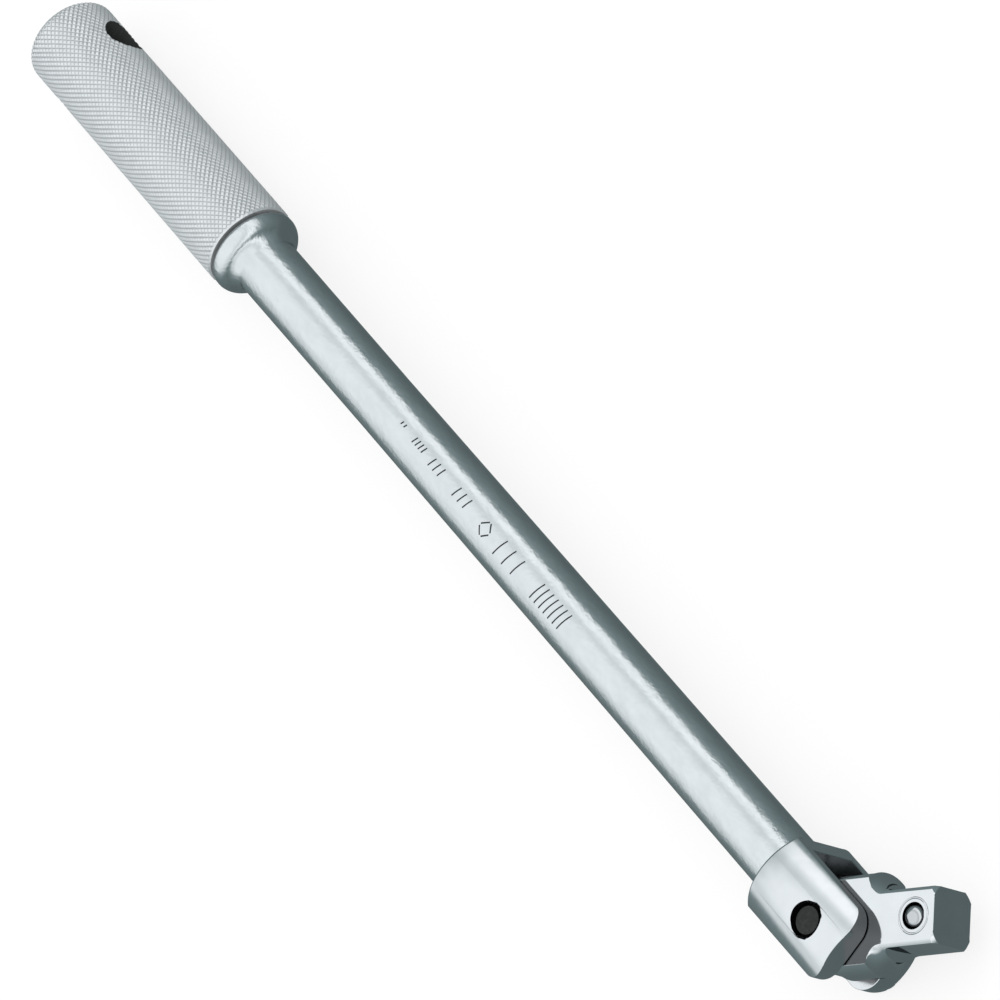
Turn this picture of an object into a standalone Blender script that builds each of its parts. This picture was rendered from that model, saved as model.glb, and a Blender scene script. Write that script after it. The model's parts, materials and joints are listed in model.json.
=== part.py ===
"""Flex-head breaker bar: grip, shaft, fork and a square-drive head that swings on a pin.

Lengths are in metres. Each piece is laid out in the tool's own frame: the hinge pin's centre is the
origin, +X runs along the handle towards the head, and +Z runs along the pin. The empty "tool" lays
that frame on z = 0, centred on its bounding box, and the empty "head_hinge" turns the head.
"""
import math

import bmesh
import bpy

MM = 0.001
GAP = 0.3 * MM  # clearance kept between pieces that touch
ROUND_SIDES = 48  # facets of the large turned pieces
SMALL_SIDES = 24  # facets of pins, pockets and balls
SHARP_ANGLE = math.radians(30)

PIN_CENTRE = (147.5 * MM, -7.3 * MM, 13.1 * MM)
HEAD_REST_ANGLE = math.radians(43.4)  # from straight, towards +Y

# Square drive and the turned head behind it
DRIVE_HALF = 6.35 * MM
DRIVE_CORNER_RADIUS = 8.4 * MM
DRIVE_ROOT_X = 15.5 * MM
DRIVE_END_X = 30.4 * MM
DRIVE_CHAMFER = 0.8 * MM
TONGUE_RADIUS = 9.9 * MM
SHOULDER_RADIUS = 11.4 * MM
SHOULDER_REAR_X = 2.6 * MM  # leaves the plunger clear with the head swung 90 degrees either way
SHOULDER_FRONT_X = 11.8 * MM

# Fork
FORK_RADIUS = 13.1 * MM
FORK_HALF_WIDTH = 9.6 * MM
FORK_REAR_X = -18.4 * MM
FORK_FRONT_X = 10.95 * MM
FORK_CORNER = 5.5 * MM
FORK_REAR_EDGE = 0.4 * MM
SLOT_HALF = DRIVE_HALF + GAP
SLOT_ROOT_X = -14.0 * MM
STEM_RADIUS = 4.2 * MM
STEM_LENGTH = 24.0 * MM

# Hinge pin
PIN_RADIUS = 3.7 * MM
PIN_HALF_LENGTH = 12.2 * MM
PIN_CHAMFER = 0.5 * MM
PIN_MOUTH_RADIUS = 4.25 * MM
PIN_MOUTH_DEPTH = 2.0 * MM

# Shaft
SHAFT_RADIUS = 7.15 * MM
SHAFT_TAPER_START_X = -187.0 * MM  # from here the shaft thickens towards the fork
SHAFT_FRONT_RADIUS = 7.85 * MM
COLLAR_RADIUS = 10.6 * MM
COLLAR_REAR_X = -242.5 * MM
COLLAR_LAND = 0.5 * MM
COLLAR_ROUND = 3.6 * MM
TANG_RADIUS = 6.2 * MM
TANG_LENGTH = 57.0 * MM

# Grip
GRIP_FRONT_X = COLLAR_REAR_X - GAP
GRIP_FRONT_RADIUS = 10.75 * MM
GRIP_REAR_X = -316.7 * MM
GRIP_REAR_RADIUS = 10.6 * MM
GRIP_DOME = 5.0 * MM
GRIP_EDGE = 0.4 * MM
CROSS_HOLE_X = -306.2 * MM
CROSS_HOLE_RADIUS = 4.9 * MM

# Detent in the drive, and friction plunger in the fork
BALL_X = 24.7 * MM
BALL_RADIUS = 2.7 * MM
BALL_PROUD = 1.2 * MM
BALL_POCKET_RADIUS = BALL_RADIUS + GAP
BALL_POCKET_DEPTH = 10.5 * MM
PLUNGER_RADIUS = 2.2 * MM
PLUNGER_LENGTH = 9.0 * MM
PLUNGER_POCKET_RADIUS = PLUNGER_RADIUS + GAP
PLUNGER_POCKET_LENGTH = 20.0 * MM
SPRING_WIRE = 0.3 * MM
SPRING_STEPS = 12  # points in each turn


def clear_scene():
    for thing in list(bpy.data.objects):
        bpy.data.objects.remove(thing, do_unlink=True)


def metal(name, colour, roughness):
    """A plain metal: Principled BSDF with full metallic."""
    material = bpy.data.materials.new(name)
    material.use_nodes = True
    shader = material.node_tree.nodes["Principled BSDF"]
    shader.inputs["Base Color"].default_value = (*colour, 1.0)
    shader.inputs["Metallic"].default_value = 1.0
    shader.inputs["Roughness"].default_value = roughness
    material.diffuse_color = (*colour, 1.0)
    return material


def empty(name, parent=None, location=(0, 0, 0), rotation=(0, 0, 0)):
    frame = bpy.data.objects.new(name, None)
    frame.parent = parent
    frame.location = location
    frame.rotation_euler = rotation
    bpy.context.collection.objects.link(frame)
    return frame


def add_object(name, data, material, parent, location=(0, 0, 0), rotation=(0, 0, 0)):
    thing = bpy.data.objects.new(name, data)
    data.materials.append(material)
    thing.parent = parent
    thing.location = location
    thing.rotation_euler = rotation
    bpy.context.collection.objects.link(thing)
    return thing


def solid(name, shape, material, parent, **place):
    """Turn a bmesh into an object whose round faces are smooth and whose corners are sharp."""
    mesh = bpy.data.meshes.new(name)
    shape.to_mesh(mesh)
    shape.free()
    mesh.shade_smooth()
    mesh.set_sharp_from_angle(angle=SHARP_ANGLE)
    return add_object(name, mesh, material, parent, **place)


def arc(centre, radius, start, end, steps):
    """Points along an arc from start to end, in degrees, both ends included."""
    points = []
    for i in range(steps + 1):
        angle = math.radians(start + (end - start) * i / steps)
        points.append((centre[0] + radius * math.cos(angle), centre[1] + radius * math.sin(angle)))
    return points


def turned(profile, sides=ROUND_SIDES):
    """Revolve a profile of (x, radius) points about X. Its two ends lie on the axis."""
    shape = bmesh.new()
    corners = [shape.verts.new((x, 0, radius)) for x, radius in profile]
    lines = [shape.edges.new(pair) for pair in zip(corners, corners[1:])]
    spin = {"cent": (0, 0, 0), "axis": (1, 0, 0), "angle": 2 * math.pi, "steps": sides, "use_merge": True}
    bmesh.ops.spin(shape, geom=corners + lines, **spin)
    bmesh.ops.remove_doubles(shape, verts=shape.verts, dist=0.001 * MM)
    bmesh.ops.recalc_face_normals(shape, faces=shape.faces)
    return shape


def plate(outline, half_height):
    """Extrude a plan outline of (x, y) points, centred on z = 0."""
    shape = bmesh.new()
    face = shape.faces.new([shape.verts.new((x, y, -half_height)) for x, y in outline])
    raised = bmesh.ops.extrude_face_region(shape, geom=[face])["geom"]
    tops = [part for part in raised if isinstance(part, bmesh.types.BMVert)]
    bmesh.ops.translate(shape, verts=tops, vec=(0, 0, 2 * half_height))
    bmesh.ops.recalc_face_normals(shape, faces=shape.faces)
    return shape


def rod(radius, start, end, sides=SMALL_SIDES):
    """A plain cylinder along X."""
    return turned([(start, 0), (start, radius), (end, radius), (end, 0)], sides)


def box(low, high):
    outline = [(low[0], low[1]), (high[0], low[1]), (high[0], high[1]), (low[0], high[1])]
    shape = plate(outline, (high[2] - low[2]) / 2)
    bmesh.ops.translate(shape, verts=shape.verts, vec=(0, 0, (high[2] + low[2]) / 2))
    return shape


def combine(target, operation, shape, rotation=(0, 0, 0), location=(0, 0, 0)):
    """Apply a hidden cutter, in the target's own frame, with a Boolean modifier."""
    name = f"{target.name}_cutter_{len(target.modifiers) + 1}"
    cutter = solid(name, shape, target.active_material, target, location=location, rotation=rotation)
    cutter.hide_render = True
    cutter.display_type = "WIRE"
    modifier = target.modifiers.new(name, "BOOLEAN")
    modifier.operation = operation
    modifier.solver = "EXACT"
    modifier.object = cutter


def coil_spring(name, radius, length, turns, material, parent, **place):
    """A round-wire helix along its local Z, starting at z = 0."""
    curve = bpy.data.curves.new(name, "CURVE")
    curve.dimensions = "3D"
    curve.bevel_depth = SPRING_WIRE
    curve.bevel_resolution = 2
    curve.use_fill_caps = True
    line = curve.splines.new("POLY")
    steps = turns * SPRING_STEPS
    line.points.add(steps)
    rise = length - 2 * SPRING_WIRE
    for i, point in enumerate(line.points):
        angle = 2 * math.pi * i / SPRING_STEPS
        height = SPRING_WIRE + rise * i / steps
        point.co = (radius * math.cos(angle), radius * math.sin(angle), height, 1)
    return add_object(name, curve, material, parent, **place)


def make_shaft(tool):
    """Round bar with a tang for the grip, a rounded collar, and a socket for the fork's stem."""
    round_centre = (COLLAR_REAR_X + COLLAR_LAND, COLLAR_RADIUS - COLLAR_ROUND)
    fillet_height = SHAFT_RADIUS + COLLAR_ROUND
    drop = fillet_height - round_centre[1]
    reach = math.sqrt((2 * COLLAR_ROUND) ** 2 - drop**2)
    turn = math.degrees(math.atan2(drop, reach))
    fillet_centre = (round_centre[0] + reach, fillet_height)
    tang_end = COLLAR_REAR_X - TANG_LENGTH
    front = FORK_REAR_X - GAP
    socket_end = front - STEM_LENGTH
    socket = STEM_RADIUS + GAP
    profile = [(tang_end, 0), (tang_end, TANG_RADIUS), (COLLAR_REAR_X, TANG_RADIUS)]
    profile.append((COLLAR_REAR_X, COLLAR_RADIUS))
    profile += arc(round_centre, COLLAR_ROUND, 90, turn, 6)
    profile += arc(fillet_centre, COLLAR_ROUND, 180 + turn, 270, 6)[1:]
    profile += [(SHAFT_TAPER_START_X, SHAFT_RADIUS), (front, SHAFT_FRONT_RADIUS)]
    profile += [(front, socket), (socket_end, socket), (socket_end, 0)]
    solid("shaft", turned(profile), metal("satin_chrome", (0.66, 0.69, 0.70), 0.38), tool)


def make_grip(tool):
    """Domed sleeve over the shaft's tang, with a cross hole near its end."""
    dome = []
    for x, radius in arc((0, 0), 1, 180, 90, 8):
        dome.append((GRIP_REAR_X + GRIP_DOME * x, GRIP_REAR_RADIUS * radius))
    bore = TANG_RADIUS + GAP
    bore_end = COLLAR_REAR_X - TANG_LENGTH - GAP
    dome[0] = (dome[0][0], 0)
    profile = dome + [(GRIP_FRONT_X - GRIP_EDGE, GRIP_FRONT_RADIUS)]
    profile += [(GRIP_FRONT_X, GRIP_FRONT_RADIUS - GRIP_EDGE)]
    profile += [(GRIP_FRONT_X, bore), (bore_end, bore), (bore_end, 0)]
    grip = solid("grip_sleeve", turned(profile), metal("knurled_chrome", (0.62, 0.65, 0.66), 0.45), tool)
    hole = rod(CROSS_HOLE_RADIUS, -2 * GRIP_FRONT_RADIUS, 2 * GRIP_FRONT_RADIUS)
    combine(grip, "DIFFERENCE", hole, rotation=(0, 0, math.pi / 2), location=(CROSS_HOLE_X, 0, 0))


def make_fork(tool, chrome):
    """Two cheeks around a slot, with a stem that is pressed into the shaft."""
    stem_end = FORK_REAR_X - STEM_LENGTH + GAP
    profile = [(stem_end, 0), (stem_end, STEM_RADIUS), (FORK_REAR_X, STEM_RADIUS)]
    profile += [(FORK_REAR_X, FORK_RADIUS - FORK_REAR_EDGE), (FORK_REAR_X + FORK_REAR_EDGE, FORK_RADIUS)]
    profile += [(FORK_FRONT_X + FORK_CORNER, FORK_RADIUS), (FORK_FRONT_X + FORK_CORNER, 0)]
    fork = solid("fork_yoke", turned(profile), chrome, tool)

    corner_x = FORK_FRONT_X - FORK_CORNER
    corner_y = FORK_HALF_WIDTH - FORK_CORNER
    outline = [(2 * stem_end, FORK_HALF_WIDTH), (2 * stem_end, -FORK_HALF_WIDTH)]
    outline += arc((corner_x, -corner_y), FORK_CORNER, -90, 0, 6)
    outline += arc((corner_x, corner_y), FORK_CORNER, 0, 90, 6)
    combine(fork, "INTERSECT", plate(outline, 2 * FORK_RADIUS))

    slot = box((SLOT_ROOT_X, -2 * FORK_RADIUS, -SLOT_HALF), (2 * FORK_RADIUS, 2 * FORK_RADIUS, SLOT_HALF))
    combine(fork, "DIFFERENCE", slot)
    upright = (0, math.pi / 2, 0)
    combine(fork, "DIFFERENCE", rod(PIN_RADIUS + GAP, -2 * FORK_RADIUS, 2 * FORK_RADIUS), rotation=upright)
    for side in (-1, 1):
        mouth = rod(PIN_MOUTH_RADIUS, FORK_RADIUS - PIN_MOUTH_DEPTH, 2 * FORK_RADIUS)
        combine(fork, "DIFFERENCE", mouth, rotation=(0, side * math.pi / 2, 0))
    pocket = rod(PLUNGER_POCKET_RADIUS, SLOT_ROOT_X - PLUNGER_POCKET_LENGTH, 0)
    combine(fork, "DIFFERENCE", pocket)


def make_hinge_pin(tool):
    end = PIN_HALF_LENGTH
    edge = PIN_RADIUS - PIN_CHAMFER
    inner = end - PIN_CHAMFER
    profile = [(-end, 0), (-end, edge), (-inner, PIN_RADIUS), (inner, PIN_RADIUS), (end, edge), (end, 0)]
    steel = metal("dark_oxide_steel", (0.05, 0.052, 0.054), 0.5)
    solid("hinge_pin", turned(profile, SMALL_SIDES), steel, tool, rotation=(0, math.pi / 2, 0))


def make_plunger(tool, steel):
    """Round-nosed plunger and its spring, in the pocket at the bottom of the fork's slot."""
    tip_x = -TONGUE_RADIUS - GAP
    nose = arc((-PLUNGER_RADIUS, 0), PLUNGER_RADIUS, 90, 0, 5)
    nose[-1] = (0, 0)
    profile = [(-PLUNGER_LENGTH, 0), (-PLUNGER_LENGTH, PLUNGER_RADIUS)] + nose
    solid("friction_plunger", turned(profile, SMALL_SIDES), steel, tool, location=(tip_x, 0, 0))

    spring_start = SLOT_ROOT_X - PLUNGER_POCKET_LENGTH + GAP
    spring_length = tip_x - PLUNGER_LENGTH - GAP - spring_start
    coil = PLUNGER_RADIUS - SPRING_WIRE
    place = {"location": (spring_start, 0, 0), "rotation": (0, math.pi / 2, 0)}
    coil_spring("friction_spring", coil, spring_length, 7, steel, tool, **place)


def make_drive_head(hinge, chrome):
    """Turned head, milled flat for the fork's slot and square for the drive."""
    profile = [(-SHOULDER_RADIUS, 0), (-SHOULDER_RADIUS, SHOULDER_RADIUS)]
    profile += [(SHOULDER_FRONT_X, SHOULDER_RADIUS)]
    profile += [(DRIVE_ROOT_X, DRIVE_CORNER_RADIUS), (DRIVE_END_X - DRIVE_CHAMFER, DRIVE_CORNER_RADIUS)]
    profile += [(DRIVE_END_X, DRIVE_CORNER_RADIUS - DRIVE_CHAMFER), (DRIVE_END_X, 0)]
    head = solid("drive_head", turned(profile), chrome, hinge)

    reach = 2 * DRIVE_END_X
    wide = 2 * SHOULDER_RADIUS
    side = [(reach, DRIVE_HALF), (DRIVE_ROOT_X, DRIVE_HALF), (DRIVE_ROOT_X, wide)]
    side += [(SHOULDER_REAR_X, wide), (SHOULDER_REAR_X, TONGUE_RADIUS)]
    outline = side + arc((0, 0), TONGUE_RADIUS, 90, 270, 24) + [(x, -y) for x, y in reversed(side)]
    combine(head, "INTERSECT", plate(outline, DRIVE_HALF))

    combine(head, "DIFFERENCE", rod(PIN_RADIUS + GAP, -wide, wide), rotation=(0, math.pi / 2, 0))
    pocket = rod(BALL_POCKET_RADIUS, DRIVE_HALF - BALL_POCKET_DEPTH, wide)
    combine(head, "DIFFERENCE", pocket, rotation=(0, -math.pi / 2, 0), location=(BALL_X, 0, 0))


def make_detent(hinge, steel):
    """Ball and spring in the drive's blind pocket."""
    ball_z = DRIVE_HALF + BALL_PROUD - BALL_RADIUS
    shape = bmesh.new()
    bmesh.ops.create_uvsphere(shape, u_segments=SMALL_SIDES, v_segments=SMALL_SIDES // 2, radius=BALL_RADIUS)
    solid("detent_ball", shape, steel, hinge, location=(BALL_X, 0, ball_z))

    spring_start = DRIVE_HALF - BALL_POCKET_DEPTH + GAP
    spring_length = ball_z - BALL_RADIUS - GAP - spring_start
    coil = BALL_RADIUS - 2 * SPRING_WIRE
    coil_spring("detent_spring", coil, spring_length, 5, steel, hinge, location=(BALL_X, 0, spring_start))


def main():
    clear_scene()
    tool = empty("tool", location=PIN_CENTRE)
    hinge = empty("head_hinge", parent=tool, rotation=(0, 0, HEAD_REST_ANGLE))
    chrome = metal("polished_chrome", (0.72, 0.74, 0.75), 0.12)
    steel = metal("bright_steel", (0.56, 0.57, 0.58), 0.25)
    make_shaft(tool)
    make_grip(tool)
    make_fork(tool, chrome)
    make_hinge_pin(tool)
    make_plunger(tool, steel)
    make_drive_head(hinge, chrome)
    make_detent(hinge, steel)


main()
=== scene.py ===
"""Looks of the flex-head breaker bar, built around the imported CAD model.

Lengths are in metres. Each visible piece is rebuilt with finer facets, soft edges and real knurling
in the tool's own frame: the hinge pin's centre is the origin, +X runs along the handle towards the
head and +Z runs along the pin. Overall sizes come from the CAD nodes' boxes.
"""
import json
import math

import bmesh
import bpy
from mathutils import Matrix, Quaternion, Vector

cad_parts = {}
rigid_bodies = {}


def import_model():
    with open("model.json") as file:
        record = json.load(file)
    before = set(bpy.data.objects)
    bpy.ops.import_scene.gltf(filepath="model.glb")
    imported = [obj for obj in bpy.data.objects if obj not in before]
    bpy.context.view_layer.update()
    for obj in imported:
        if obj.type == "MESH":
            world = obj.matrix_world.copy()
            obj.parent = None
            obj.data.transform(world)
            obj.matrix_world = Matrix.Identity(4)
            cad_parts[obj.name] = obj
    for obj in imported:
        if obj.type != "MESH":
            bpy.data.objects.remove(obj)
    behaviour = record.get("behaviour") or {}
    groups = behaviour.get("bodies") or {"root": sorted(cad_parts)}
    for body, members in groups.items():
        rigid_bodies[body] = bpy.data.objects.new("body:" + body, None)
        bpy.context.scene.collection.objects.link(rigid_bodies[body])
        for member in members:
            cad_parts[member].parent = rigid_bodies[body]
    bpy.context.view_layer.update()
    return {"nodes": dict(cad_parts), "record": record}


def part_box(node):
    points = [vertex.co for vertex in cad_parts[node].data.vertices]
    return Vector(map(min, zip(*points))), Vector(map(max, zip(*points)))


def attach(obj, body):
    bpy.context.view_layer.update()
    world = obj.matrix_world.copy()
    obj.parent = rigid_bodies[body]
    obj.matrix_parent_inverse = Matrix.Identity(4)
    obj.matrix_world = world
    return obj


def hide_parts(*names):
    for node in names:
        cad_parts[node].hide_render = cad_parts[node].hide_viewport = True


MM = 0.001
ROUND_SIDES = 192  # facets of the large turned pieces
SMALL_SIDES = 72  # facets of pins, pockets and balls
SHARP_ANGLE = math.radians(28)
PLAY = 0.02 * MM  # keeps two cut surfaces from lying in one plane
WELD = 0.05 * MM  # corners closer than this become one
ORDER_STEP = 0.0001 * MM  # places closer than this count as one when a mesh is sorted

# Knurl
KNURL_STARTS = 52  # grooves of each family round the grip
KNURL_PITCH = 1.63 * MM  # from groove to groove along the axis
KNURL_DEPTH = 0.16 * MM
KNURL_CREST = 0.45  # share of a diamond that is its flat top
KNURL_FADE_START = 4.0 * MM  # along the dome, from its edge
KNURL_FADE_END = 6.6 * MM
DOME_DEPTH = 5.0 * MM
GRIP_TAPER = 0.15 * MM
GRIP_EDGE = 0.4 * MM
BORE_RADIUS = 6.5 * MM
TANG_RADIUS = 6.2 * MM
CROSS_HOLE_RADIUS = 4.9 * MM
HOLE_MARGIN = 1.001  # faces centred within this share of the radius line the hole

# Shaft
SHAFT_RADIUS = 7.15 * MM
SHAFT_TAPER_START_X = -187.0 * MM  # from here the shaft thickens towards the fork
SHAFT_FRONT_RADIUS = 7.85 * MM
COLLAR_ROUND = 3.1 * MM
COLLAR_BACK_ROUND = 1.6 * MM
SHAFT_EDGE = 0.2 * MM
SOCKET_RADIUS = 4.5 * MM
SOCKET_LENGTH = 24.0 * MM

# Fork
FORK_REAR_X = -18.4 * MM
FORK_CORNER = 5.5 * MM
FORK_REAR_ROUND = 1.0 * MM
FORK_SIDE_ROUND = 0.7 * MM
SLOT_ROOT_X = -14.0 * MM
STEM_RADIUS = 4.2 * MM
STEM_LENGTH = 23.7 * MM
FORK_BORE_RADIUS = 4.25 * MM
FORK_SOFTENING = 0.2 * MM
PLUNGER_POCKET_RADIUS = 2.5 * MM
PLUNGER_POCKET_LENGTH = 20.0 * MM
GAP = 0.3 * MM

# Hinge pin: each end is a narrower neck
PIN_NECK_STEP = 0.55 * MM
PIN_NECK_LENGTH = 1.7 * MM
PIN_END_MARGIN = 0.01 * MM  # faces nearer the end than this are the end itself

# Drive head
HEAD_BORE_RADIUS = 4.0 * MM
HEAD_SOFTENING = 0.1 * MM
TONGUE_RADIUS = 9.9 * MM
SHOULDER_RADIUS = 11.4 * MM
SHOULDER_REAR_X = 2.6 * MM
SHOULDER_FRONT_X = 11.8 * MM
DRIVE_ROOT_X = 15.5 * MM
DRIVE_CORNER_RADIUS = 8.4 * MM
COVE_FACE = 0.6 * MM  # from the cove's centre in to the edge where it meets the shoulder
DRIVE_END_X = 30.4 * MM
DRIVE_CHAMFER = 0.8 * MM
ROOT_FILLET = 2.0 * MM
STAKED_RING_RADIUS = 3.95 * MM
STAKED_RING_WIRE = 0.22 * MM
BALL_POCKET_DEPTH = 10.5 * MM

# Engraved strokes on the shaft: each group's first X, count, pitch and height
MARK_GROUPS = (
    (-174.4 * MM, 2, 1.2 * MM, 0.9 * MM),
    (-168.6 * MM, 4, 1.25 * MM, 1.7 * MM),
    (-161.0 * MM, 3, 1.9 * MM, 2.4 * MM),
    (-150.6 * MM, 3, 2.2 * MM, 2.8 * MM),
    (-131.6 * MM, 3, 3.6 * MM, 4.6 * MM),
    (-116.2 * MM, 7, 1.85 * MM, 4.8 * MM),
)
MARK_DIAMOND_X = -138.3 * MM
MARK_DIAMOND_REACH = 2.1 * MM
MARK_DIAMOND_GAP = 0.12  # share of each side left off at either end
MARK_TOP_ANGLE = math.radians(24)  # where the strokes start, from +Z towards +Y
MARK_WIDTH = 0.38 * MM
MARK_DEPTH = 0.13 * MM
MARK_SLOPE = 0.22  # how far a stroke leans along the shaft, as a share of its height

# View and light
VIEW_AZIMUTH = math.radians(26.62)  # from +X towards +Y
VIEW_ELEVATION = math.radians(48.94)
VIEW_ROLL = math.radians(74.56)
VIEW_DISTANCE = 10.0
VIEW_WIDTH = 218.1 * MM
VIEW_TARGET = Vector((-145.3, 5.3, 0)) * MM  # in the tool's frame
SKY_TILT = math.radians(20)  # the bright sky's pole leans from +Z towards -Y
SKY_BANDS = (  # brightness by the cosine to the pole
    (0.0, 0.0),
    (0.03, 1.0),
    (0.30, 1.0),
    (0.40, 0.72),
    (0.49, 0.5),
    (0.60, 0.72),
    (0.72, 0.86),
    (1.0, 0.84),
)
HORIZON_FADE = (-0.02, 0.22)  # the bright sky comes in between these heights
GRIP_WALL_FADE = (0.76, 0.88)  # and goes out between these cosines to the wall past the grip
WALL_HEIGHTS = (-0.8, 0.35)  # the dark walls go from the first level to the second between these
WALL_LEVELS = (0.72, 1.4)
BRIGHT_SKY = (1.18, 1.22, 1.25)
DARK_SKY = (0.155, 0.2, 0.207)
SECOND_BOUNCE = 0.18  # share of the sky left where one polished face mirrors another
PLAIN_WHITE = (0.95, 0.95, 0.95, 1)  # the sky as anything but a mirror sees it
FLOOR_RADIUS = 4.0
FLOOR_GLOW = 0.8
KEY_PLACE = (0, 0.8, 2.2)
KEY_SIZE = 3.0
KEY_ENERGY = 10


def clear_scene():
    for thing in list(bpy.data.objects):
        bpy.data.objects.remove(thing, do_unlink=True)


def size_of(node):
    low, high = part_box(node)
    return high - low


def middle_of(node):
    low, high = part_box(node)
    return (low + high) / 2


# ---------------------------------------------------------------- shapes


def arc(centre, radius, start, end, steps):
    """Points along an arc from start to end, in degrees, both ends included."""
    points = []
    for i in range(steps + 1):
        angle = math.radians(start + (end - start) * i / steps)
        points.append((centre[0] + radius * math.cos(angle), centre[1] + radius * math.sin(angle)))
    return points


def turned(profile, sides=ROUND_SIDES):
    """Revolve a profile of (x, radius) points about X. Its two ends lie on the axis."""
    shape = bmesh.new()
    corners = [shape.verts.new((x, 0, radius)) for x, radius in profile]
    lines = [shape.edges.new(pair) for pair in zip(corners, corners[1:])]
    spin = {"cent": (0, 0, 0), "axis": (1, 0, 0), "angle": 2 * math.pi, "steps": sides, "use_merge": True}
    bmesh.ops.spin(shape, geom=corners + lines, **spin)
    bmesh.ops.remove_doubles(shape, verts=shape.verts, dist=0.001 * MM)
    bmesh.ops.recalc_face_normals(shape, faces=shape.faces)
    return shape


def rod(radius, start, end, sides=SMALL_SIDES):
    """A plain cylinder along X."""
    return turned([(start, 0), (start, radius), (end, radius), (end, 0)], sides)


def prism(outline, low, high, along="z"):
    """Extrude an outline: (x, y) points along Z, or (y, z) points along X."""
    shape = bmesh.new()
    if along == "z":
        corners = [(a, b, low) for a, b in outline]
        rise = (0, 0, high - low)
    else:
        corners = [(low, a, b) for a, b in outline]
        rise = (high - low, 0, 0)
    face = shape.faces.new([shape.verts.new(corner) for corner in corners])
    raised = bmesh.ops.extrude_face_region(shape, geom=[face])["geom"]
    moved = [part for part in raised if isinstance(part, bmesh.types.BMVert)]
    bmesh.ops.translate(shape, verts=moved, vec=rise)
    bmesh.ops.recalc_face_normals(shape, faces=shape.faces)
    return shape


def ring(radius, wire, sides=SMALL_SIDES, wire_sides=12):
    """A torus round the Z axis."""
    shape = bmesh.new()
    loops = []
    for i in range(sides):
        turn = 2 * math.pi * i / sides
        loop = []
        for j in range(wire_sides):
            lean = 2 * math.pi * j / wire_sides
            reach = radius + wire * math.cos(lean)
            place = (reach * math.cos(turn), reach * math.sin(turn), wire * math.sin(lean))
            loop.append(shape.verts.new(place))
        loops.append(loop)
    for here, there in zip(loops, loops[1:] + loops[:1]):
        for j in range(wire_sides):
            k = (j + 1) % wire_sides
            shape.faces.new((here[j], there[j], there[k], here[k]))
    bmesh.ops.recalc_face_normals(shape, faces=shape.faces)
    return shape


def clipped_circle(radius, half_width, corner):
    """A circle in (y, z) cut by two flats at y = +-half_width, with rounded corners."""
    corner_y = half_width - corner
    corner_z = math.sqrt((radius - corner) ** 2 - corner_y**2)
    lean = math.degrees(math.atan2(corner_z, corner_y))
    quarter = arc((corner_y, corner_z), corner, 0, lean, 5)
    quarter += arc((0, 0), radius, lean, 90, 24)[1:]
    upper = quarter + [(-y, z) for y, z in reversed(quarter[:-1])]
    return upper + [(-y, -z) for y, z in upper]


def add_object(name, shape):
    mesh = bpy.data.meshes.new(name)
    shape.to_mesh(mesh)
    shape.free()
    thing = bpy.data.objects.new(name, mesh)
    bpy.context.collection.objects.link(thing)
    return thing


def carve(target, operation, shape, turn=None):
    """Combine a shape with the target, in the target's own frame, and keep the result as its mesh."""
    cutter = add_object("cutter", shape)
    if turn is not None:
        cutter.data.transform(turn)
    modifier = target.modifiers.new("carve", "BOOLEAN")
    modifier.operation = operation
    modifier.solver = "EXACT"
    modifier.object = cutter
    bpy.context.view_layer.update()
    graph = bpy.context.evaluated_depsgraph_get()
    target.data = bpy.data.meshes.new_from_object(target.evaluated_get(graph))
    target.modifiers.clear()
    bpy.data.objects.remove(cutter, do_unlink=True)
    put_in_order(target.data)


def put_in_order(mesh):
    """Rebuild a cut mesh in the order of its places, because a cut returns its parts in varying order."""
    shape = bmesh.new()
    shape.from_mesh(mesh)

    def place(point):
        return tuple(round(value / ORDER_STEP) for value in point)

    old_corners = sorted(shape.verts, key=lambda corner: place(corner.co))
    old_faces = sorted(shape.faces, key=lambda face: place(face.calc_center_median()))
    ranks = {corner: rank for rank, corner in enumerate(old_corners)}
    corners = [shape.verts.new(corner.co, corner) for corner in old_corners]
    loops = []
    for face in old_faces:
        loop = [ranks[corner] for corner in face.verts]
        first = loop.index(min(loop))
        loops.append(loop[first:] + loop[:first])
    for face, loop in zip(old_faces, loops):
        shape.faces.new([corners[rank] for rank in loop], face)
    bmesh.ops.delete(shape, geom=old_corners, context="VERTS")
    shape.to_mesh(mesh)
    shape.free()


def weld(piece):
    """Close the tiny steps that cutting leaves, so that the softened edges run true."""
    shape = bmesh.new()
    shape.from_mesh(piece.data)
    bmesh.ops.remove_doubles(shape, verts=shape.verts, dist=WELD)
    bmesh.ops.dissolve_degenerate(shape, edges=shape.edges, dist=WELD)
    shape.to_mesh(piece.data)
    shape.free()


def soften(piece, width, segments=3):
    """Round every outer corner a little, as polishing does.

    A corner beside an edge that is shorter than the rounding stays sharp, or it would grow a spike.
    """
    weld(piece)
    shape = bmesh.new()
    shape.from_mesh(piece.data)
    weight = shape.edges.layers.float.new("bevel_weight_edge")
    for edge in shape.edges:
        if len(edge.link_faces) == 2:
            edge[weight] = float(edge.calc_face_angle_signed() > SHARP_ANGLE)
    for edge in shape.edges:
        nearby = [other for vert in edge.verts for other in vert.link_edges]
        if min(other.calc_length() for other in nearby) < width:
            edge[weight] = 0.0
    shape.to_mesh(piece.data)
    shape.free()
    bevel = piece.modifiers.new("soft_edges", "BEVEL")
    bevel.width = width
    bevel.segments = segments
    bevel.limit_method = "WEIGHT"
    bevel.use_clamp_overlap = False
    bevel.harden_normals = True


def split_faces(piece, is_second):
    """Make two material slots, the second for the faces whose centres pass the test."""
    piece.data.materials.append(None)
    piece.data.materials.append(None)
    for face in piece.data.polygons:
        face.material_index = int(is_second(*face.center))


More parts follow.
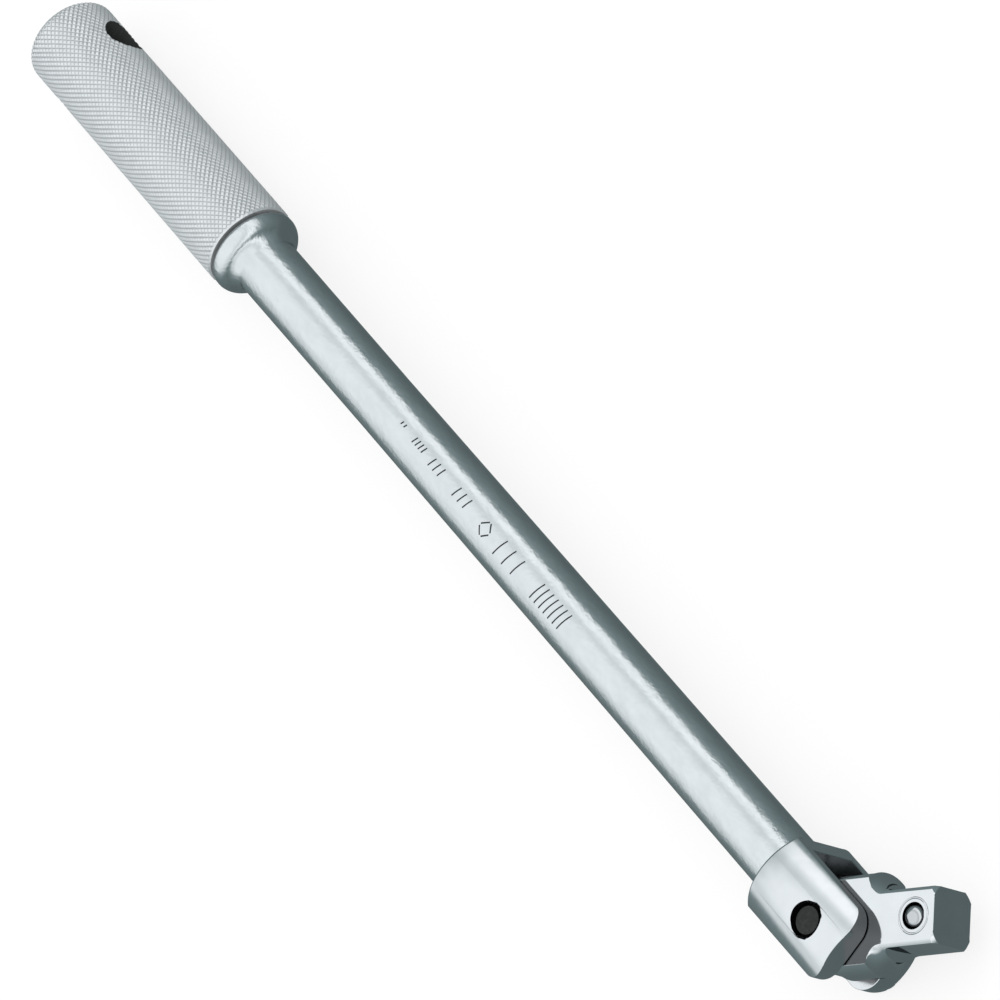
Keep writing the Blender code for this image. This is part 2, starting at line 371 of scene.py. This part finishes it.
def finish_piece(piece, body, node, materials, place):
    """Shade a piece, give it its materials, and set it in the row frame in place of its CAD node."""
    piece.data.shade_smooth()
    piece.data.set_sharp_from_angle(angle=SHARP_ANGLE)
    for i, material in enumerate(materials):
        if i < len(piece.data.materials):
            piece.data.materials[i] = material
        else:
            piece.data.materials.append(material)
    piece.matrix_world = place
    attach(piece, body)
    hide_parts(node)


# ---------------------------------------------------------------- materials


class Surface:
    """A Principled material with short calls for its procedural inputs."""

    def __init__(self, name, colour, metallic, roughness):
        self.material = bpy.data.materials.new(name)
        self.material.use_nodes = True
        self.tree = self.material.node_tree
        self.shader = self.tree.nodes["Principled BSDF"]
        self.shader.inputs["Metallic"].default_value = metallic
        self.shader.inputs["Base Color"].default_value = (*colour, 1)
        self.shader.inputs["Roughness"].default_value = roughness
        self.material.diffuse_color = (*colour, 1)
        self.place = self.node("ShaderNodeTexCoord").outputs["Object"]

    def node(self, kind, **settings):
        made = self.tree.nodes.new(kind)
        for name, value in settings.items():
            setattr(made, name, value)
        return made

    def link(self, source, target):
        self.tree.links.new(source, target)

    def noise(self, feature, detail=3.0, stretch=(1, 1, 1)):
        """Noise whose blobs are about one feature wide, stretched along the axes."""
        mapping = self.node("ShaderNodeMapping")
        self.link(self.place, mapping.inputs["Vector"])
        mapping.inputs["Scale"].default_value = [1 / (feature * share) for share in stretch]
        noise = self.node("ShaderNodeTexNoise")
        self.link(mapping.outputs["Vector"], noise.inputs["Vector"])
        noise.inputs["Scale"].default_value = 1.0
        noise.inputs["Detail"].default_value = detail
        return noise.outputs["Fac"]

    def spread(self, value, low, high, start=0.3, end=0.7):
        """Map a value from start..end to low..high."""
        change = self.node("ShaderNodeMapRange")
        self.link(value, change.inputs["Value"])
        for name, number in (("From Min", start), ("From Max", end), ("To Min", low), ("To Max", high)):
            change.inputs[name].default_value = number
        return change.outputs["Result"]

    def blend(self, factor, first, second):
        """Mix two colours."""
        mix = self.node("ShaderNodeMix", data_type="RGBA")
        self.link(factor, mix.inputs["Factor"])
        for name, colour in (("A", first), ("B", second)):
            socket = [s for s in mix.inputs if s.name == name and s.type == "RGBA"][0]
            if isinstance(colour, tuple):
                socket.default_value = (*colour, 1)
            else:
                self.link(colour, socket)
        return [s for s in mix.outputs if s.type == "RGBA"][0]

    def colour(self, source):
        self.link(source, self.shader.inputs["Base Color"])

    def roughness(self, source):
        self.link(source, self.shader.inputs["Roughness"])

    def bump(self, layers):
        """Stack bumps of (height value, height in metres), the coarsest first."""
        normal = None
        for value, height in layers:
            bump = self.node("ShaderNodeBump")
            bump.inputs["Distance"].default_value = height
            self.link(value, bump.inputs["Height"])
            if normal is not None:
                self.link(normal, bump.inputs["Normal"])
            normal = bump.outputs["Normal"]
        self.link(normal, self.shader.inputs["Normal"])


def shade(colour, share):
    return tuple(channel * share for channel in colour)


def satin_chrome():
    """Blasted and plated: an even satin with faint blotches."""
    colour = (0.74, 0.765, 0.775)
    surface = Surface("satin_chrome", colour, 1.0, 0.3)
    blotch = surface.noise(3.0 * MM, 4.0, (2.0, 1, 1))
    surface.colour(surface.blend(surface.spread(blotch, 0, 1), shade(colour, 0.93), colour))
    surface.roughness(surface.spread(surface.noise(1.4 * MM, 5.0), 0.2, 0.27))
    pits = surface.noise(0.9 * MM, 3.0)
    surface.bump([(blotch, 0.13 * MM), (pits, 0.06 * MM), (surface.noise(0.25 * MM, 2.0), 0.004 * MM)])
    return surface.material


def knurled_chrome():
    """Plated knurling: bright crests, with painted shade darkening the rougher grooves, the end face and
    the bore.
    """
    colour = (0.84, 0.86, 0.87)
    surface = Surface("knurled_chrome", colour, 0.7, 0.4)
    crest_and_shade = surface.node("ShaderNodeAttribute", attribute_name="crest_and_shade").outputs["Fac"]
    worn = surface.noise(2.5 * MM, 4.0)
    bright = surface.blend(surface.spread(worn, 0, 1), shade(colour, 0.9), colour)
    # painted shade: the lower the attribute, the darker the colour, down to 0.72 of it
    surface.colour(surface.blend(surface.spread(crest_and_shade, 0, 1, 0.0, 0.8), shade(colour, 0.72), bright))
    surface.roughness(surface.spread(crest_and_shade, 0.5, 0.36, 0.0, 1.0))
    surface.bump([(surface.noise(0.3 * MM, 3.0), 0.008 * MM)])
    return surface.material


def polished_chrome(name, roughness, lay_height):
    """Polished and plated, with the faint lay of the polishing belt."""
    colour = (0.77, 0.785, 0.795)
    surface = Surface(name, colour, 1.0, roughness)
    cloud = surface.noise(6.0 * MM, 3.0)
    surface.colour(surface.blend(surface.spread(cloud, 0, 1), shade(colour, 0.95), colour))
    surface.roughness(surface.spread(surface.noise(1.8 * MM, 5.0), roughness * 0.85, roughness * 1.25))
    lay = surface.noise(0.16 * MM, 3.0, (14, 1, 1))
    surface.bump([(surface.noise(5.0 * MM, 1.0), 0.02 * MM), (lay, lay_height)])
    return surface.material


def dark_oxide():
    colour = (0.018, 0.019, 0.0185)
    surface = Surface("dark_oxide", colour, 0.0, 0.6)
    surface.shader.inputs["Specular IOR Level"].default_value = 0.25
    rub = surface.noise(0.7 * MM, 4.0)
    surface.colour(surface.blend(surface.spread(rub, 0, 1, 0.45, 0.75), colour, shade(colour, 1.6)))
    surface.roughness(surface.spread(rub, 0.62, 0.5))
    surface.bump([(surface.noise(0.22 * MM, 3.0), 0.01 * MM)])
    return surface.material


def bright_steel(name, roughness):
    colour = (0.60, 0.61, 0.62)
    surface = Surface(name, colour, 1.0, roughness)
    drawn = surface.noise(0.3 * MM, 3.0, (1, 1, 6))
    surface.colour(surface.blend(surface.spread(drawn, 0, 1), shade(colour, 0.92), colour))
    surface.roughness(surface.spread(drawn, roughness * 0.8, roughness * 1.3))
    surface.bump([(drawn, 0.002 * MM)])
    return surface.material


def mark_fill():
    """Dull dark bottom of the engraved strokes."""
    colour = (0.08, 0.09, 0.092)
    surface = Surface("mark_fill", colour, 0.7, 0.6)
    grain = surface.noise(0.15 * MM, 3.0)
    surface.colour(surface.blend(surface.spread(grain, 0, 1), shade(colour, 0.6), colour))
    surface.bump([(grain, 0.01 * MM)])
    return surface.material


def shaded_bore():
    """The cross hole's drilled, rough wall, its near-black colour painted shade."""
    colour = (0.07, 0.076, 0.073)
    surface = Surface("shaded_bore", colour, 0.4, 0.55)
    drilled = surface.noise(0.4 * MM, 3.0, (1, 8, 1))
    surface.colour(surface.blend(surface.spread(drilled, 0, 1), shade(colour, 0.7), colour))
    surface.bump([(drilled, 0.01 * MM)])
    return surface.material


def pin_rim_shadow():
    """Painted shadow: the near-black sides of the pin's ends, in the hole's shade."""
    colour = (0.004, 0.004, 0.004)
    surface = Surface("pin_rim_shadow", colour, 0.0, 0.8)
    surface.shader.inputs["Specular IOR Level"].default_value = 0.1
    return surface.material


# ---------------------------------------------------------------- pieces


def shaft_radius(x):
    """The shaft's radius at x: it thickens a little towards the fork."""
    front = FORK_REAR_X - GAP
    share = max(0.0, (x - SHAFT_TAPER_START_X) / (front - SHAFT_TAPER_START_X))
    return SHAFT_RADIUS + share * (SHAFT_FRONT_RADIUS - SHAFT_RADIUS)


def make_shaft(front, collar_rear, collar_radius, tang_end):
    """Round bar with a tang, a rounded collar, a socket for the fork's stem, and engraved strokes."""
    back_centre = (collar_rear + COLLAR_BACK_ROUND, collar_radius - COLLAR_BACK_ROUND)
    round_centre = (back_centre[0], collar_radius - COLLAR_ROUND)
    fillet_height = SHAFT_RADIUS + COLLAR_ROUND
    drop = fillet_height - round_centre[1]
    reach = math.sqrt((2 * COLLAR_ROUND) ** 2 - drop**2)
    turn = math.degrees(math.atan2(drop, reach))
    fillet_centre = (round_centre[0] + reach, fillet_height)
    profile = [(tang_end, 0), (tang_end, TANG_RADIUS - GAP), (tang_end + GAP, TANG_RADIUS)]
    profile += [(collar_rear, TANG_RADIUS)]
    profile += arc(back_centre, COLLAR_BACK_ROUND, 180, 90, 12)
    profile += arc(round_centre, COLLAR_ROUND, 90, turn, 20)[1:]
    profile += arc(fillet_centre, COLLAR_ROUND, 180 + turn, 270, 20)[1:]
    profile += [(SHAFT_TAPER_START_X, SHAFT_RADIUS)]
    socket_end = front - SOCKET_LENGTH
    edge_x = front - SHAFT_EDGE
    profile += [(edge_x, shaft_radius(edge_x)), (front, SHAFT_FRONT_RADIUS - SHAFT_EDGE)]
    profile += [(front, SOCKET_RADIUS), (socket_end, SOCKET_RADIUS), (socket_end, 0)]
    shaft = add_object("turned_shaft", turned(profile))
    carve(shaft, "DIFFERENCE", engraving())
    marks_start = MARK_GROUPS[0][0] - MARK_DIAMOND_REACH

    def in_stroke(x, y, z):
        sunk = math.hypot(y, z) < shaft_radius(x) - 0.5 * MARK_DEPTH
        return sunk and marks_start < x < socket_end - MM

    split_faces(shaft, in_stroke)
    return shaft


def engraving():
    """Cutter for rows of plain leaning strokes that hang from one line, and a diamond."""
    shape = bmesh.new()
    for first, count, pitch, height in MARK_GROUPS:
        for i in range(count):
            x = first + i * pitch
            stroke(shape, (x, 0), (x - MARK_SLOPE * height, -height))
    side = MARK_DIAMOND_REACH
    corners = [(-side, -side), (0, -2 * side), (side, -side), (0, 0)]
    for here, there in zip(corners, corners[1:] + corners[:1]):
        start = [a + (b - a) * MARK_DIAMOND_GAP for a, b in zip(here, there)]
        end = [b + (a - b) * MARK_DIAMOND_GAP for a, b in zip(here, there)]
        stroke(shape, (MARK_DIAMOND_X + start[0], start[1]), (MARK_DIAMOND_X + end[0], end[1]))
    bmesh.ops.recalc_face_normals(shape, faces=shape.faces)
    return shape


def stroke(shape, start, end):
    """One stroke from start to end, (along the shaft, round the shaft), wrapped on the shaft."""
    line = Vector(end) - Vector(start)
    side = Vector((-line.y, line.x)).normalized() * MARK_WIDTH / 2
    steps = 6
    loops = []
    for i in range(steps + 1):
        middle = Vector(start) + line * i / steps
        loop = []
        for way, depth in ((-1, -MARK_DEPTH), (1, -MARK_DEPTH), (1, MARK_DEPTH), (-1, MARK_DEPTH)):
            point = middle + side * way
            radius = shaft_radius(point.x) + depth
            angle = MARK_TOP_ANGLE + point.y / radius
            loop.append(shape.verts.new((point.x, radius * math.sin(angle), radius * math.cos(angle))))
        loops.append(loop)
    for here, there in zip(loops, loops[1:]):
        for j in range(4):
            k = (j + 1) % 4
            shape.faces.new((here[j], here[k], there[k], there[j]))
    shape.faces.new(loops[0])
    shape.faces.new(loops[-1])


def grip_path(front, rear, front_radius, rear_radius):
    """The grip's outline as (x, radius) points, from its front edge back to the dome's tip."""
    path = [(front - GRIP_EDGE, front_radius), (rear, rear_radius)]
    for x, radius in arc((0, 0), 1, 90, 180, 60)[1:]:
        path.append((rear + DOME_DEPTH * x, rear_radius * radius))
    return [Vector(point) for point in path]


def walk(path, distance, depth=0.0):
    """The point at a distance along a path, sunk inwards by depth."""
    for here, there in zip(path, path[1:]):
        step = (there - here).length
        if distance <= step:
            break
        distance -= step
    along = (there - here).normalized()
    inward = Vector((-along.y, along.x))
    return here + along * distance + inward * depth


def make_grip(front, rear, front_radius, rear_radius, bore_end, hole_x):
    """Sleeve whose knurl is real: a flat-topped diamond between each pair of crossing grooves."""
    path = grip_path(front, rear, front_radius, rear_radius)
    straight = (path[1] - path[0]).length
    half_pitch = KNURL_PITCH / 2
    rows = int((straight + KNURL_FADE_END) / half_pitch)
    shape = bmesh.new()
    # this attribute is 1 on the crests and lower in the grooves and bore; the material paints shade and
    # sets roughness from it
    crest_and_shade = shape.verts.layers.float.new("crest_and_shade")

    def fade(row):
        past = row * half_pitch - straight - KNURL_FADE_START
        return min(1.0, max(0.0, 1 - past / (KNURL_FADE_END - KNURL_FADE_START)))

    def vertex(row, column, top):
        share = fade(row) if row < rows else 0.0
        x, radius = walk(path, row * half_pitch, 0 if top else KNURL_DEPTH * share)
        angle = 2 * math.pi * column / KNURL_STARTS
        made = shape.verts.new((x, radius * math.sin(angle), radius * math.cos(angle)))
        # painted shade: a groove's root is darker the deeper it is cut
        made[crest_and_shade] = 1.0 if top else 1.0 - share
        return made

    roots = []
    for row in range(rows + 1):
        shift = 0.5 * (row % 2)
        roots.append([vertex(row, column + shift, False) for column in range(KNURL_STARTS)])

    def corners(row, column):
        """The grooves' crossings round a diamond: before, after, and either side of its middle."""
        after = (column + 1) % KNURL_STARTS
        sides = (roots[row][column], roots[row][after])
        nearest = column if row % 2 == 0 else after
        before = roots[row - 1][nearest] if row > 0 else None
        beyond = roots[row + 1][nearest] if row < rows else None
        return before, beyond, sides

    front_edge = []
    for row in range(rows + 1):
        middle_shift = 0.5 if row % 2 == 0 else 1.0
        for column in range(KNURL_STARTS):
            before, beyond, (left, right) = corners(row, column)
            middle = column + middle_shift
            reach = KNURL_CREST
            if row == rows:
                shape.faces.new((left, right, before))
                continue
            tops = [vertex(row, middle - reach / 2, True), vertex(row + reach, middle, True)]
            tops.append(vertex(row, middle + reach / 2, True))
            roots_round = [left, beyond, right]
            if row > 0:
                tops.append(vertex(row - reach, middle, True))
                roots_round.append(before)
            else:
                front_edge += [left, tops[0], tops[2]]
            shape.faces.new(tops)
            count = len(tops)
            for i in range(count if row > 0 else count - 1):
                j = (i + 1) % count
                shape.faces.new((roots_round[i], roots_round[j], tops[j], tops[i]))

    close_front(shape, front_edge, crest_and_shade, front, front_radius, bore_end)
    close_dome(shape, roots[-1], crest_and_shade, path, rows)
    bmesh.ops.recalc_face_normals(shape, faces=shape.faces)
    grip = add_object("knurled_grip", shape)
    hole = rod(CROSS_HOLE_RADIUS, -2 * front_radius, 2 * front_radius, 96)
    across = Matrix.Translation((hole_x, 0, 0)) @ Matrix.Rotation(math.pi / 2, 4, "Z")
    carve(grip, "DIFFERENCE", hole, across)
    # the hole's wall gets the near-black painted shade
    split_faces(grip, lambda x, y, z: math.hypot(x - hole_x, z) < CROSS_HOLE_RADIUS * HOLE_MARGIN)
    return grip


def add_loop(shape, edge, last, x, radius, crest_and_shade, lit_share):
    """Add a ring at x, at the same angles as the knurl's edge, and join it to the last one. Its last
    number sets the ring's painted shade, 1 being none.
    """
    ring_verts = []
    for vert in edge:
        angle = math.atan2(vert.co.y, vert.co.z)
        made = shape.verts.new((x, radius * math.sin(angle), radius * math.cos(angle)))
        made[crest_and_shade] = lit_share
        ring_verts.append(made)
    for i in range(len(last)):
        j = (i + 1) % len(last)
        shape.faces.new((last[i], last[j], ring_verts[j], ring_verts[i]))
    return ring_verts


def close_front(shape, edge, crest_and_shade, front, front_radius, bore_end):
    """Chamfer and end face at the knurl's front, and the blind bore for the shaft's tang."""
    loop = edge
    # the third number is painted shade: the end face darker, the bore darker still
    for x, radius, lit_share in (
        (front, front_radius - GRIP_EDGE, 1.0),
        (front, BORE_RADIUS, 0.6),
        (bore_end, BORE_RADIUS, 0.3),
    ):
        loop = add_loop(shape, edge, loop, x, radius, crest_and_shade, lit_share)
    shape.faces.new(loop)


def close_dome(shape, edge, crest_and_shade, path, rows):
    """Smooth cap from the knurl's last row to the dome's tip."""
    total = sum((there - here).length for here, there in zip(path, path[1:]))
    start = rows * KNURL_PITCH / 2
    steps = 12
    loop = edge
    for step in range(1, steps):
        x, radius = walk(path, start + (total - start) * step / steps)
        loop = add_loop(shape, edge, loop, x, radius, crest_and_shade, 1.0)
    tip = shape.verts.new((path[-1].x, 0, 0))
    tip[crest_and_shade] = 1.0
    for i in range(len(loop)):
        shape.faces.new((loop[i], loop[(i + 1) % len(loop)], tip))


def make_fork(radius, half_width, front, slot_half):
    """Two cheeks around a slot, with a stem that sits in the shaft."""
    stem_end = FORK_REAR_X - STEM_LENGTH
    fork = add_object(
        "polished_fork",
        prism(clipped_circle(radius, half_width, FORK_SIDE_ROUND), stem_end, 2 * radius, along="x"),
    )
    wide = 2 * radius
    blank = [(stem_end + PLAY, 0), (stem_end + PLAY, STEM_RADIUS), (FORK_REAR_X, STEM_RADIUS)]
    blank += arc((FORK_REAR_X + FORK_REAR_ROUND, radius - FORK_REAR_ROUND), FORK_REAR_ROUND, 180, 100, 5)
    blank += [(FORK_REAR_X + 2 * FORK_REAR_ROUND, wide), (1.5 * radius, wide), (1.5 * radius, 0)]
    carve(fork, "INTERSECT", turned(blank))

    corner_x = front - FORK_CORNER
    corner_y = half_width + PLAY - FORK_CORNER
    outline = [(2 * stem_end, wide), (2 * stem_end, -wide), (corner_x - wide, -wide)]
    outline += [(corner_x - wide, -half_width - PLAY)]
    outline += arc((corner_x, -corner_y), FORK_CORNER, -90, 0, 24)
    outline += arc((corner_x, corner_y), FORK_CORNER, 0, 90, 24)
    outline += [(corner_x - wide, half_width + PLAY), (corner_x - wide, wide)]
    carve(fork, "INTERSECT", prism(outline, -wide, wide))

    opening = [(SLOT_ROOT_X, -wide), (wide, -wide), (wide, wide), (SLOT_ROOT_X, wide)]
    carve(fork, "DIFFERENCE", prism(opening, -slot_half, slot_half))
    upright = Matrix.Rotation(math.pi / 2, 4, "Y")
    carve(fork, "DIFFERENCE", rod(FORK_BORE_RADIUS, -wide, wide), upright)
    pocket = rod(PLUNGER_POCKET_RADIUS, SLOT_ROOT_X - PLUNGER_POCKET_LENGTH, 0)
    carve(fork, "DIFFERENCE", pocket)
    soften(fork, FORK_SOFTENING)
    return fork


def make_pin(radius, half_length):
    """Pin whose narrower ends stand clear of the hole, their sides painted near black as shadow."""
    neck = radius - PIN_NECK_STEP
    shoulder = half_length - PIN_NECK_LENGTH
    half = [(half_length, 0), (half_length, neck), (shoulder, neck), (shoulder, radius)]
    profile = [(-x, r) for x, r in half] + list(reversed(half))
    pin = add_object("oxide_pin", turned(profile, SMALL_SIDES))
    # the ends' sides get the painted shadow
    split_faces(pin, lambda x, y, z: abs(x) < half_length - PIN_END_MARGIN)
    return pin


def make_head(half, ball_x, ball_radius):
    """Turned head, milled flat for the fork's slot and square for the drive."""
    cove = DRIVE_ROOT_X - SHOULDER_FRONT_X
    rear = -SHOULDER_RADIUS - PLAY
    profile = [(rear, 0), (rear, SHOULDER_RADIUS), (SHOULDER_FRONT_X, SHOULDER_RADIUS)]
    profile += [(SHOULDER_FRONT_X, DRIVE_CORNER_RADIUS + cove - COVE_FACE)]
    profile += arc((DRIVE_ROOT_X, DRIVE_CORNER_RADIUS + cove), cove, 190, 270, 6)
    profile += [(DRIVE_END_X - DRIVE_CHAMFER, DRIVE_CORNER_RADIUS)]
    profile += [(DRIVE_END_X, DRIVE_CORNER_RADIUS - DRIVE_CHAMFER), (DRIVE_END_X, 0)]
    head = add_object("polished_head", turned(profile, 128))

    reach = 2 * DRIVE_END_X
    wide = 2 * SHOULDER_RADIUS
    upper = arc((DRIVE_ROOT_X + ROOT_FILLET, half + ROOT_FILLET), ROOT_FILLET, 270, 180, 5)
    upper += [(DRIVE_ROOT_X, wide), (SHOULDER_REAR_X, wide), (SHOULDER_REAR_X, TONGUE_RADIUS)]
    side = [(reach, half)] + upper
    outline = side + arc((0, 0), TONGUE_RADIUS, 90, 270, 96) + [(x, -y) for x, y in reversed(side)]
    carve(head, "INTERSECT", prism(outline, -half, half))

    carve(head, "DIFFERENCE", rod(HEAD_BORE_RADIUS, -wide, wide), Matrix.Rotation(math.pi / 2, 4, "Y"))
    pocket = rod(ball_radius + GAP, half - BALL_POCKET_DEPTH, wide)
    upright = Matrix.Translation((ball_x, 0, 0)) @ Matrix.Rotation(-math.pi / 2, 4, "Y")
    carve(head, "DIFFERENCE", pocket, upright)
    groove = ring(STAKED_RING_RADIUS, STAKED_RING_WIRE)
    carve(head, "DIFFERENCE", groove, Matrix.Translation((ball_x, 0, half)))
    soften(head, HEAD_SOFTENING)
    return head


def make_ball(radius):
    shape = bmesh.new()
    bmesh.ops.create_uvsphere(shape, u_segments=SMALL_SIDES, v_segments=SMALL_SIDES // 2, radius=radius)
    return add_object("bright_ball", shape)


# ---------------------------------------------------------------- view and light


def make_camera(target):
    """Long lens, turned round its own axis so that the handle runs down the picture."""
    towards = Vector((math.cos(VIEW_AZIMUTH), math.sin(VIEW_AZIMUTH), 0)) * math.cos(VIEW_ELEVATION)
    towards.z = math.sin(VIEW_ELEVATION)
    data = bpy.data.cameras.new("camera")
    data.sensor_width = 36
    data.lens = data.sensor_width * VIEW_DISTANCE / VIEW_WIDTH
    camera = bpy.data.objects.new("camera", data)
    bpy.context.collection.objects.link(camera)
    camera.location = target + towards * VIEW_DISTANCE
    camera.rotation_mode = "QUATERNION"
    aim = (-towards).to_track_quat("-Z", "Y")
    camera.rotation_quaternion = aim @ Quaternion((0, 0, 1), -VIEW_ROLL)
    bpy.context.scene.camera = camera


def make_floor():
    """Light table that the metal doesn't mirror, so that its undersides stay dark."""
    shape = bmesh.new()
    bmesh.ops.create_circle(shape, cap_ends=True, segments=96, radius=FLOOR_RADIUS)
    floor = add_object("floor", shape)
    surface = Surface("floor_paint", (0.2, 0.2, 0.2), 0.0, 0.9)
    surface.shader.inputs["Emission Color"].default_value = (1, 1, 1, 1)
    surface.shader.inputs["Emission Strength"].default_value = FLOOR_GLOW
    floor.data.materials.append(surface.material)
    floor.visible_glossy = False


def make_key_light():
    """Large soft light that only the floor shows: the metal mirrors the sky instead."""
    data = bpy.data.lights.new("key", "AREA")
    data.shape = "DISK"
    data.size = KEY_SIZE
    data.energy = KEY_ENERGY
    key = bpy.data.objects.new("key", data)
    bpy.context.collection.objects.link(key)
    key.location = KEY_PLACE
    key.rotation_euler = (-key.location).to_track_quat("-Z", "Y").to_euler()
    key.visible_glossy = False


class Sky:
    """The studio's brightness by direction, built from short sums of nodes."""

    def __init__(self, tree):
        self.tree = tree
        self.direction = self.node("ShaderNodeTexCoord").outputs["Generated"]

    def node(self, kind, **settings):
        made = self.tree.nodes.new(kind)
        for name, value in settings.items():
            setattr(made, name, value)
        return made

    def towards(self, vector):
        """The cosine of the angle between the direction and a vector."""
        dot = self.node("ShaderNodeVectorMath", operation="DOT_PRODUCT")
        self.tree.links.new(self.direction, dot.inputs[0])
        dot.inputs[1].default_value = Vector(vector).normalized()
        return dot.outputs["Value"]

    def smooth(self, value, start, end, low=0.0, high=1.0):
        """Rise smoothly from low to high as the value goes from start to end."""
        change = self.node("ShaderNodeMapRange", interpolation_type="SMOOTHSTEP")
        self.tree.links.new(value, change.inputs["Value"])
        for name, number in (("From Min", start), ("From Max", end), ("To Min", low), ("To Max", high)):
            change.inputs[name].default_value = number
        return change.outputs["Result"]

    def product(self, first, *others):
        for other in others:
            times = self.node("ShaderNodeMath", operation="MULTIPLY")
            self.tree.links.new(first, times.inputs[0])
            self.tree.links.new(other, times.inputs[1])
            first = times.outputs["Value"]
        return first


def make_sky():
    """A bright tented roof that leans away from +Y, with a darker seam and dark walls."""
    world = bpy.data.worlds.new("studio")
    bpy.context.scene.world = world
    world.use_nodes = True
    tree = world.node_tree
    tree.nodes.clear()
    sky = Sky(tree)

    roof = sky.node("ShaderNodeValToRGB")
    tree.links.new(sky.towards((0, -math.sin(SKY_TILT), math.cos(SKY_TILT))), roof.inputs["Fac"])
    roof.color_ramp.elements.remove(roof.color_ramp.elements[1])
    for place, level in SKY_BANDS:
        stop = roof.color_ramp.elements[0] if place == 0 else roof.color_ramp.elements.new(place)
        stop.color = (level, level, level, 1)

    height = sky.towards((0, 0, 1))
    horizon = sky.smooth(height, *HORIZON_FADE)
    grip_wall = sky.smooth(sky.towards((-1, 0, 0)), *GRIP_WALL_FADE, 1, 0)
    lit = sky.product(roof.outputs["Color"], horizon, grip_wall)

    wall = sky.node("ShaderNodeVectorMath", operation="SCALE")
    wall.inputs[0].default_value = DARK_SKY
    tree.links.new(sky.smooth(height, *WALL_HEIGHTS, *WALL_LEVELS), wall.inputs["Scale"])
    mix = sky.node("ShaderNodeMix", data_type="RGBA")
    tree.links.new(lit, mix.inputs[0])
    tree.links.new(wall.outputs["Vector"], mix.inputs[6])
    mix.inputs[7].default_value = (*BRIGHT_SKY, 1)

    studio = sky.node("ShaderNodeBackground")
    tree.links.new(mix.outputs[2], studio.inputs["Color"])
    light_path = sky.node("ShaderNodeLightPath")
    bounced = sky.smooth(light_path.outputs["Ray Depth"], 2, 3, 1, SECOND_BOUNCE)
    tree.links.new(bounced, studio.inputs["Strength"])
    plain = sky.node("ShaderNodeBackground")
    plain.inputs["Color"].default_value = PLAIN_WHITE
    mirrored = sky.node("ShaderNodeMixShader")
    tree.links.new(light_path.outputs["Is Glossy Ray"], mirrored.inputs[0])
    tree.links.new(plain.outputs["Background"], mirrored.inputs[1])
    tree.links.new(studio.outputs["Background"], mirrored.inputs[2])
    tree.links.new(mirrored.outputs["Shader"], sky.node("ShaderNodeOutputWorld").inputs["Surface"])


def main():
    clear_scene()
    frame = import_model()

    pin_centre = middle_of("hinge_pin")
    tool = Matrix.Translation(pin_centre)
    ball_centre = middle_of("detent_ball") - pin_centre
    swing = math.atan2(ball_centre.y, ball_centre.x)
    hinge = tool @ Matrix.Rotation(swing, 4, "Z")
    ball_x = math.hypot(ball_centre.x, ball_centre.y)
    ball_radius = size_of("detent_ball").x / 2
    drive_half = size_of("drive_head").z / 2

    make_camera(pin_centre + VIEW_TARGET)
    make_floor()
    make_key_light()
    make_sky()

    shaft_low, shaft_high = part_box("shaft")
    grip_low, grip_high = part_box("grip_sleeve")
    fork_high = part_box("fork_yoke")[1]
    grip_front = grip_high.x - pin_centre.x
    grip_rear = grip_low.x + DOME_DEPTH - pin_centre.x
    grip_radius = size_of("grip_sleeve").z / 2
    tang_end = shaft_low.x - pin_centre.x
    hole_low, hole_high = frame["record"]["physics"]["openings"][0]["box_m"]
    hole_x = (hole_low[0] + hole_high[0]) / 2 - pin_centre.x

    satin = satin_chrome()
    head_chrome = polished_chrome("head_chrome", 0.07, 0.0006 * MM)
    fork_chrome = polished_chrome("fork_chrome", 0.16, 0.0012 * MM)

    shaft = make_shaft(
        shaft_high.x - pin_centre.x, grip_front + GAP, size_of("shaft").z / 2, tang_end
    )
    finish_piece(shaft, "handle", "shaft", [satin, mark_fill()], tool)

    grip = make_grip(
        grip_front, grip_rear, grip_radius, grip_radius - GRIP_TAPER, tang_end - GAP, hole_x
    )
    finish_piece(grip, "handle", "grip_sleeve", [knurled_chrome(), shaded_bore()], tool)

    fork_size = size_of("fork_yoke")
    fork = make_fork(fork_size.z / 2, fork_size.y / 2, fork_high.x - pin_centre.x, drive_half + GAP)
    finish_piece(fork, "handle", "fork_yoke", [fork_chrome], tool)

    pin_size = size_of("hinge_pin")
    pin = make_pin(pin_size.x / 2, pin_size.z / 2)
    upright = tool @ Matrix.Rotation(math.pi / 2, 4, "Y")
    finish_piece(pin, "handle", "hinge_pin", [dark_oxide(), pin_rim_shadow()], upright)

    head = make_head(drive_half, ball_x, ball_radius)
    finish_piece(head, "head", "drive_head", [head_chrome], hinge)

    ball = make_ball(ball_radius)
    ball_place = Matrix.Translation(middle_of("detent_ball"))
    finish_piece(ball, "ball", "detent_ball", [bright_steel("ball_steel", 0.06)], ball_place)

    hidden_steel = bright_steel("drawn_steel", 0.28)
    for name in ("friction_plunger", "friction_spring", "detent_spring"):
        node = frame["nodes"][name]
        node.data.shade_smooth()
        node.material_slots[0].material = hidden_steel

    bpy.context.scene.view_settings.view_transform = "Standard"


main()
